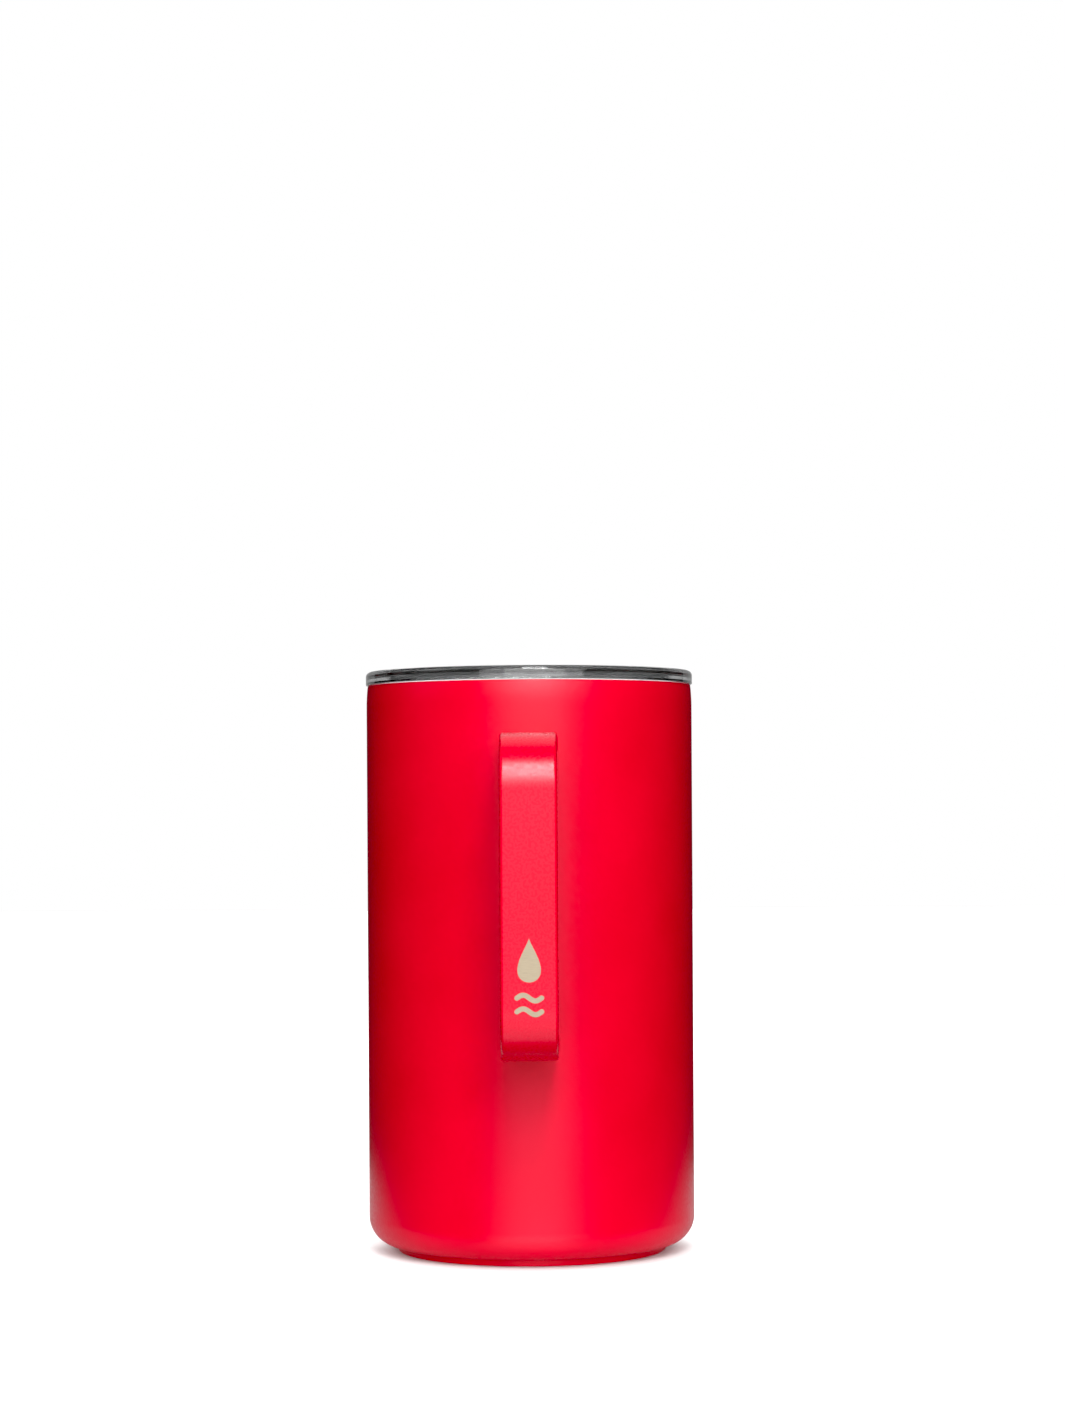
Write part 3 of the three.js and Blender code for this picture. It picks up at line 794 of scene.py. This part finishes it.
def make_slider():
    """The clear slider: a plate under the rails' lips, a raised pad, and three finger ridges."""
    half = SLIDER_WIDTH / 2
    corner = 1
    plate_top = SLIDER_LOW + SLIDER_PLATE
    end = math.degrees(math.asin((half - corner) / SLIDER_REACH))
    outline = arc(-half + corner, SLIDER_BACK + corner, corner, 180, 270, 5)
    outline += arc(half - corner, SLIDER_BACK + corner, corner, 270, 360, 5)
    outline += arc(0, 0, SLIDER_REACH, 90 - end, 90 + end, 16)
    slider = prism("slider_plate", outline, softened(SLIDER_LOW, plate_top, 0.3, 0.15))
    pad_half = half + RAIL_GAP - RAIL_LIP - PAD_GAP
    pad = rounded_rectangle(pad_half, (PAD_FAR - PAD_NEAR) / 2, 1.5, 6)
    pad = moved(pad, 0, (PAD_FAR + PAD_NEAR) / 2)
    top = DECK_TOP + RAIL_HEIGHT + PAD_RISE
    boolean(slider, prism("pad_tool", pad, softened(plate_top - ROOT, top, 0.6)), "UNION")
    for number in range(RIDGE_COUNT):
        ridge = rounded_rectangle(RIDGE_WIDTH / 2, RIDGE_THICKNESS / 2, 0.7, 5)
        ridge = moved(ridge, 0, RIDGE_FIRST + RIDGE_PITCH * number)
        ridge_top = top + (RIDGE_HEIGHT_MIDDLE if number == 1 else RIDGE_HEIGHT)
        boolean(slider, prism("ridge_tool", ridge, softened(top - ROOT, ridge_top, 0.5)), "UNION")
    sharpen(slider)
    turn_lid(slider)
    finish_piece(slider, slider_plastic, "clear_plastic", "slider", "lid_slider")


def make_gasket():
    """The silicone ring in the skirt's groove, with two round lips."""
    inner = SKIRT_OUTER - GROOVE_DEPTH + CLEARANCE
    root = SKIRT_OUTER + 0.1  # surface between the lips
    low = GASKET_LOW
    high = GASKET_HIGH
    bevel = 0.3
    lip = 0.25
    lip_offset = 0.9  # from each end of the ring to its lip
    lip_r = GASKET_RADIUS - lip
    valley_low = low + 1.5
    valley_high = high - 1.9
    profile = [(inner, low), (root - bevel, low)]
    profile += arc(lip_r, low + lip_offset, lip, -60, 60, 6)
    profile += [(root, valley_low), (root, valley_high)]
    profile += arc(lip_r, high - lip_offset, lip, -60, 60, 6)
    profile += [(root - bevel, high), (inner, high)]
    gasket = revolve("gasket_ring", profile)
    sharpen(gasket, 60)
    finish_piece(gasket, gasket_silicone, "silicone", "gasket", "lid_gasket")


# ---------------------------------------------------------------- carried-over CAD nodes
def finish_node(node, material):
    """Gives a CAD node that is kept as it is a Blender material."""
    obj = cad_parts[node]
    if not obj.data.materials:
        obj.data.materials.append(material)
    for slot in obj.material_slots:
        slot.material = material


# ---------------------------------------------------------------- stage
FLOOR_HALF = 3000
TABLE_RADIUS = 142
TABLE_MIDDLE = 92  # behind the mug's axis
TABLE_SIDES = 90
TABLE_DROP = 0.02  # below the floor


def matt_surface(name, dark, light):
    """A dull grey between two shades, in broad clouds."""
    material, tree, shader = new_material(name)
    clouds = noise(tree, 8, detail=2.0)
    color = tint(tree, clouds, (dark, dark, dark), (light, light, light))
    tree.links.new(color, shader.inputs["Base Color"])
    shader.inputs["Roughness"].default_value = 0.9
    shader.inputs["Specular IOR Level"].default_value = 0.1
    return material


def make_floor():
    """A pale floor that only the camera sees, over a darker table that the mug mirrors.

    Gives the collection of both, for the lamp that lights them.
    """
    size = FLOOR_HALF
    corners = [(-size, -size, 0), (size, -size, 0), (size, size, 0), (-size, size, 0)]
    floor = mesh_object("floor", corners, [[0, 1, 2, 3]])
    floor.data.materials.append(matt_surface("pale_floor", 0.47, 0.49))
    floor.visible_diffuse = False
    floor.visible_glossy = False
    floor.visible_transmission = False
    floor.visible_shadow = False
    rim = arc(0, TABLE_MIDDLE, TABLE_RADIUS, 0, 360, TABLE_SIDES)[:-1]
    rim = [(x, y, -TABLE_DROP) for x, y in rim]
    table = mesh_object("table", rim, [list(range(TABLE_SIDES))])
    table.data.materials.append(matt_surface("grey_table", 0.22, 0.24))
    table.visible_camera = False
    table.visible_shadow = False
    return linked_to("floor_only", floor, table)


def linked_to(name, *objects):
    """Gathers objects for a lamp that lights nothing else."""
    lit = bpy.data.collections.new(name)
    for obj in objects:
        lit.objects.link(obj)
    return lit


def softbox(name, azimuth, elevation, distance, width, height, power, target=(0, 0, 0.08)):
    """A rectangular lamp that faces the target. Angles are in degrees, lengths in metres, power in watts.

    Azimuth 0 is in front of the handle, and 90 is on the mug's right as the camera sees it.
    """
    data = bpy.data.lights.new(name, "AREA")
    data.shape = "RECTANGLE"
    data.size = width
    data.size_y = height
    data.energy = power
    lamp = bpy.data.objects.new(name, data)
    bpy.context.scene.collection.objects.link(lamp)
    turn = math.radians(azimuth)
    rise = math.radians(elevation)
    way = Vector((math.sin(turn) * math.cos(rise), -math.cos(turn) * math.cos(rise), math.sin(rise)))
    lamp.location = Vector(target) + way * distance
    lamp.rotation_euler = way.to_track_quat("Z", "Y").to_euler()
    return lamp


def make_floor_lamp(lit):
    """A broad light from above that falls on the floor and the table alone."""
    data = bpy.data.lights.new("floor_lamp", "SUN")
    data.energy = 9
    data.angle = math.pi  # from the whole sky
    lamp = bpy.data.objects.new("floor_lamp", data)
    lamp.light_linking.receiver_collection = lit
    bpy.context.scene.collection.objects.link(lamp)


def make_front_lights():
    """The key light, high up, and the panels that the paint mirrors as one long soft streak."""
    softbox("key", 5, 38, 0.9, 0.22, 0.42, 4.4)
    softbox("key_core", 5, 42, 0.9, 0.22, 0.16, 0.4)
    softbox("key_skirt", 4, 28, 0.9, 0.4, 0.2, 0.85)
    softbox("front_panel", 4, -7, 1.3, 0.95, 1.0, 2.3)
    softbox("low_panel", 5, -22, 1.3, 1.9, 0.65, 3.6)
    softbox("low_card", 0, -55, 0.35, 0.3, 0.27, 0.36, target=(0, -0.08, 0.06))
    softbox("high_panel", 4, 14, 1.3, 1.0, 0.4, 1.5)
    softbox("wide_panel", 6, 20, 1.3, 1.75, 0.3, 5.6)


def make_side_and_back_lights():
    """Weaker lamps that show the left side, the top and the back. The back fill gives matt light only."""
    softbox("left_fill", -75, 30, 1.2, 0.6, 0.8, 1.2)
    softbox("back_top", 180, 59, 0.9, 0.8, 0.95, 2.4)
    back_fill = softbox("back_fill", 195, 15, 1.3, 0.9, 0.9, 3)
    back_fill.visible_glossy = False
    back_fill.visible_transmission = False


def make_lid_lights():
    """Two wide panels that show in the clear rim and the steel cup, and light nothing else."""
    cup_and_lid = linked_to("cup_and_lid", bpy.data.objects["lid_shell"], bpy.data.objects["liner_cup"])
    lid_front = softbox("lid_front", 2, -4, 1.3, 1.9, 0.9, 10)
    lid_front.light_linking.receiver_collection = cup_and_lid
    lid_back = softbox("lid_back", 180, 8, 1.3, 2.3, 1.2, 3.4)
    lid_back.light_linking.receiver_collection = cup_and_lid


ROOM_GREY = 0.06
CLEAR_BOUNCES = 4  # a ray that has been bent or mirrored more often no longer sees the white


def math_node(tree, operation, first, second):
    """A calculation with two inputs, each another node's output or a float."""
    node = tree.nodes.new("ShaderNodeMath")
    node.operation = operation
    for socket, value in zip(node.inputs, (first, second)):
        if isinstance(value, float):
            socket.default_value = value
        else:
            tree.links.new(value, socket)
    return node.outputs["Value"]


def background(tree, grey):
    """An even grey surrounding."""
    node = tree.nodes.new("ShaderNodeBackground")
    node.inputs["Color"].default_value = (grey, grey, grey, 1)
    return node.outputs["Background"]


def make_world():
    """White to the camera and through clear plastic, and a dim grey room to everything else."""
    world = bpy.data.worlds.new("studio")
    bpy.context.scene.world = world
    world.use_nodes = True
    tree = world.node_tree
    tree.nodes.clear()
    path = tree.nodes.new("ShaderNodeLightPath")
    direct = math_node(tree, "LESS_THAN", path.outputs["Ray Depth"], CLEAR_BOUNCES + 0.5)
    through = math_node(tree, "MULTIPLY", path.outputs["Is Transmission Ray"], direct)
    bright = math_node(tree, "MAXIMUM", path.outputs["Is Camera Ray"], through)
    mix = tree.nodes.new("ShaderNodeMixShader")
    output = tree.nodes.new("ShaderNodeOutputWorld")
    tree.links.new(bright, mix.inputs["Fac"])
    tree.links.new(background(tree, ROOM_GREY), mix.inputs[1])
    tree.links.new(background(tree, 1.0), mix.inputs[2])
    tree.links.new(mix.outputs["Shader"], output.inputs["Surface"])


BLACK_LEVEL = 0.02


def set_view_transform():
    """Plain colours with slightly deeper blacks, which take the last green out of the red paint."""
    view = bpy.context.scene.view_settings
    view.view_transform = "Standard"
    view.use_curve_mapping = True
    view.curve_mapping.black_level = (BLACK_LEVEL, BLACK_LEVEL, BLACK_LEVEL)
    view.curve_mapping.update()


CAMERA_DISTANCE = 850
CAMERA_HEIGHT = 115
CAMERA_AZIMUTH = 0.25  # degrees, to the right of the handle
CAMERA_ROLL = 0.33  # degrees


def make_camera():
    """A camera in front of the handle that looks straight ahead."""
    data = bpy.data.cameras.new("camera")
    data.lens = 81.3
    data.sensor_width = 36
    data.shift_x = 0.002
    data.shift_y = 0.0733
    camera = bpy.data.objects.new("camera", data)
    bpy.context.scene.collection.objects.link(camera)
    turn = math.radians(CAMERA_AZIMUTH)
    way = Vector((math.sin(turn), -math.cos(turn), 0))
    camera.location = way * CAMERA_DISTANCE * MM + Vector((0, 0, CAMERA_HEIGHT * MM))
    camera.rotation_euler = (math.pi / 2, math.radians(CAMERA_ROLL), turn)
    bpy.context.scene.camera = camera


def make_body():
    """Everything that is fixed to the mug, but for the pieces that stay as the CAD made them."""
    make_shell()
    make_liner()
    make_foot()
    make_handle()
    make_weld("upper_handle_weld", HANDLE_HIGH - HANDLE_THICKNESS / 2)
    make_weld("lower_handle_weld", HANDLE_LOW + HANDLE_THICKNESS / 2)
    make_mark()


def finish_cad_nodes():
    """The small pieces that are sealed in the base or hidden in the strap stay as the CAD made them."""
    finish_node("vacuum_closure_disc", bare_steel)
    finish_node("getter_strap", bare_steel)
    finish_node("upper_handle_tongue", bare_steel)
    finish_node("lower_handle_tongue", bare_steel)
    finish_node("getter_pill", getter_metal)
    finish_node("vacuum_seal_bead", solder)


make_camera()
make_body()
make_lid()
make_slider()
make_gasket()
finish_cad_nodes()
make_floor_lamp(make_floor())
make_front_lights()
make_side_and_back_lights()
make_lid_lights()
make_world()
set_view_transform()
